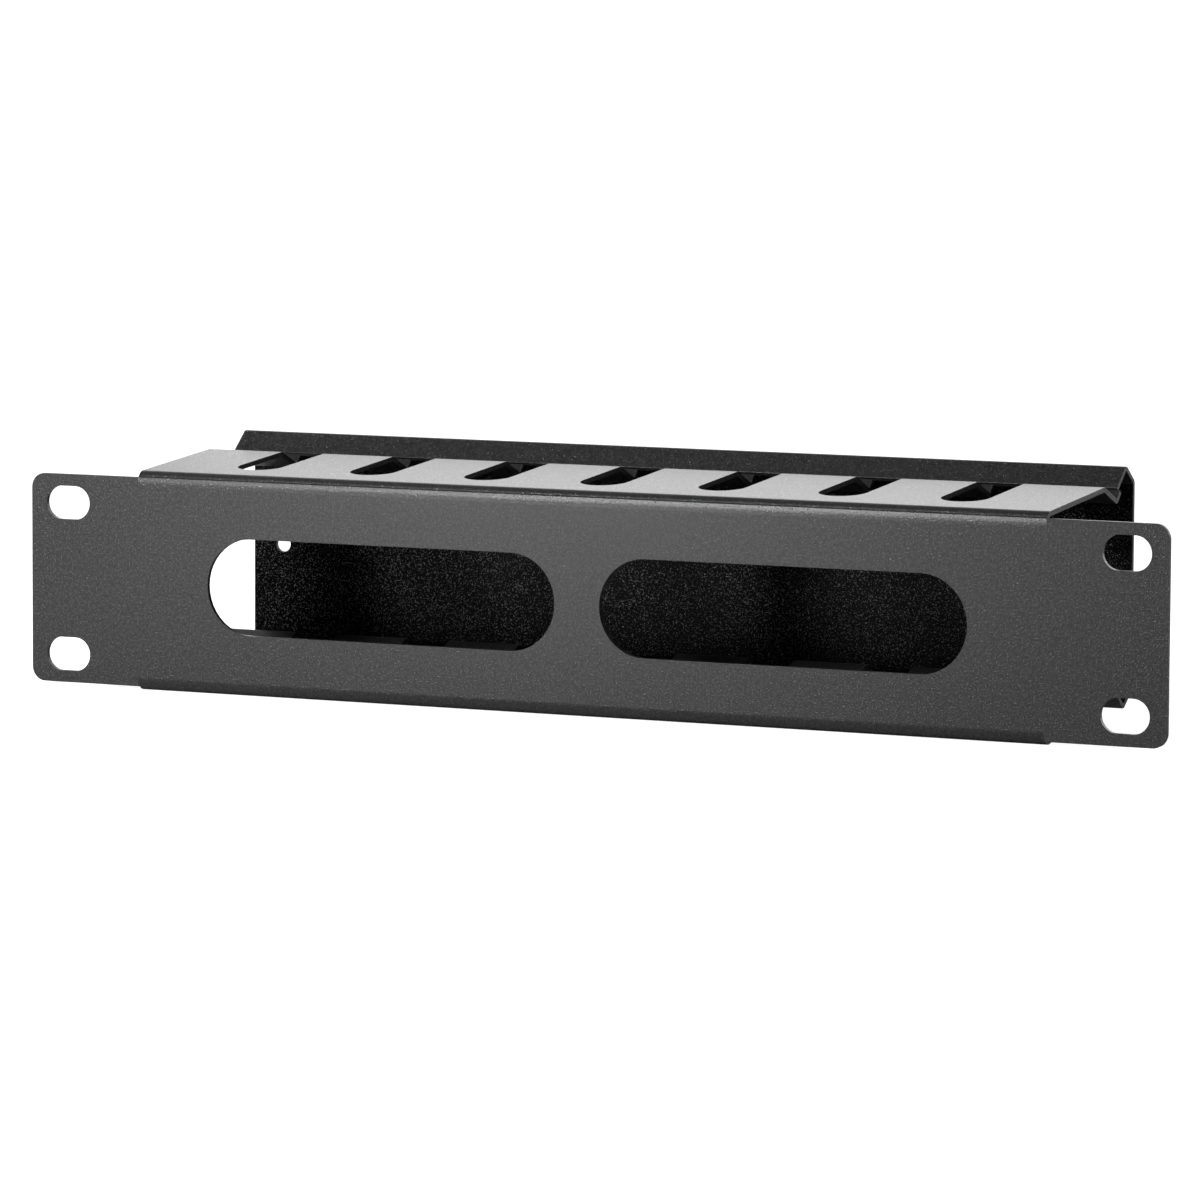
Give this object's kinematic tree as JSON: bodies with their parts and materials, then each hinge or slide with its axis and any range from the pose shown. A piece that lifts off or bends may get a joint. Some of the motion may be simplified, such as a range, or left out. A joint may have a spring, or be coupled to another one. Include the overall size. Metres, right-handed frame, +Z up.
{
  "type": "horizontal cable manager",
  "caption": "Ten-inch rack cable manager: folded steel panel with rack ears, cable windows and finger combs, closed at the rear by a cover that clips on.",
  "frame": {"origin": "middle of the front face, at the centre of the four rack screw slots", "axes": "+X across the rack to the right, +Y from the front face to the rear cover, +Z up"},
  "size_m": [0.254, 0.0495, 0.0515],
  "materials": {
    "powder_coat_panel": "fine-textured black powder coat",
    "powder_coat_cover": "fine-textured black powder coat"
  },
  "bodies": {
    "panel": {"finger_panel": "powder_coat_panel"},
    "cover": {"rear_cover": "powder_coat_cover"}
  },
  "joints": [
    {"name": "cover_pull", "type": "slide", "parent": "panel", "child": "cover", "axis": [0, 1, 0], "range_m": [0, 0.06]}
  ]
}
